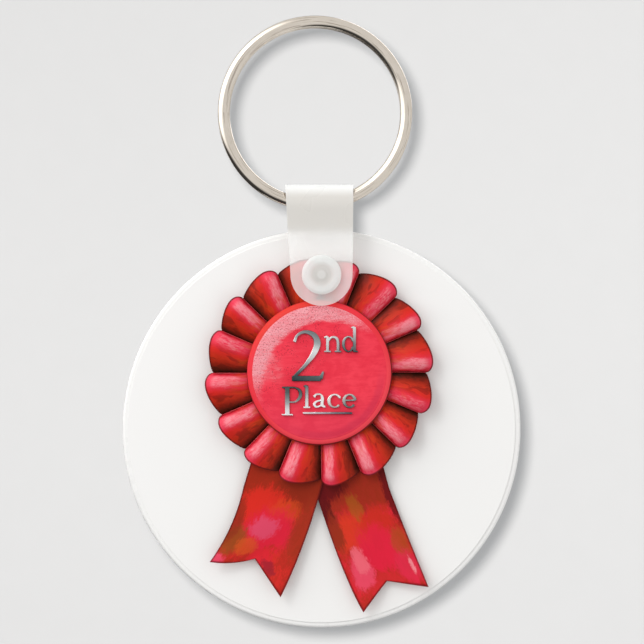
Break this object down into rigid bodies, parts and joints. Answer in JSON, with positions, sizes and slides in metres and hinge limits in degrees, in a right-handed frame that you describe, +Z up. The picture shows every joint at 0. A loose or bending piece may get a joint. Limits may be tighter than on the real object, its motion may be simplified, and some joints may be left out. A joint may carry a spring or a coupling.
{
  "type": "award ribbon key tag",
  "caption": "Pleated satin award rosette with a lettered button and two swallow-tails, on a round white tag that hangs by a clear snap strap from a split ring.",
  "frame": {"origin": "the split ring's inner top, where a hook or finger carries it", "axes": "+Z up along the hanging tag, -Y out of the rosette's front, +X to the viewer's right of the front"},
  "size_m": [0.0571, 0.0089, 0.0877],
  "materials": {
    "nickel": "bright nickel plate, warm grey",
    "clear_strap": "milky clear vinyl, soft gloss",
    "clear_snap": "milky moulded plastic",
    "gloss_white": "smooth gloss white",
    "card": "uncoated pressed card",
    "foam": "soft white foam tape",
    "satin_red": "woven polyester satin, crimson with pink sheen",
    "button_red": "stretched satin, warm red",
    "tin": "tinned sheet steel",
    "silver": "bright silver plate",
    "thread": "matt red sewing thread"
  },
  "bodies": {
    "ring": {"split_ring": "nickel"},
    "strap": {"strap": "clear_strap", "snap_cap": "clear_snap", "snap_socket": "clear_snap"},
    "tag": {"tag_core": "gloss_white", "tag_front_sheet": "gloss_white", "tag_back_sheet": "gloss_white", "adhesive_pad": "foam", "back_card": "card", "staple_left": "tin", "staple_right": "tin", "tail_left_tab": "satin_red", "tail_right_tab": "satin_red", "pleated_ribbon": "satin_red", "gathering_thread": "thread", "button_back": "tin", "button_shell": "tin", "button_cover": "button_red", "button_rim": "button_red", "numeral_2": "silver", "letter_n": "silver", "letter_d": "silver", "letter_P": "silver", "letter_l": "silver", "letter_a": "silver", "letter_c": "silver", "letter_e": "silver", "underline_bar": "silver"},
    "tail_left": {"tail_left": "satin_red"},
    "tail_right": {"tail_right": "satin_red"}
  },
  "joints": [
    {"name": "strap_swing", "type": "hinge", "parent": "ring", "child": "strap", "pos_m": [0.0006, 0, -0.0243], "axis": [1, 0, 0], "range_deg": [-100, 100]},
    {"name": "tag_swivel", "type": "hinge", "parent": "strap", "child": "tag", "pos_m": [0.00093, 0, -0.0352], "axis": [0, 1, 0], "range_deg": [-25, 25]},
    {"name": "tail_left_lift", "type": "hinge", "parent": "tag", "child": "tail_left", "pos_m": [-0.0047, -0.00062, -0.0656], "axis": [-1, 0, 0], "range_deg": [0, 60]},
    {"name": "tail_right_lift", "type": "hinge", "parent": "tag", "child": "tail_right", "pos_m": [0.0059, -0.00038, -0.0656], "axis": [-1, 0, 0], "range_deg": [0, 60]}
  ]
}
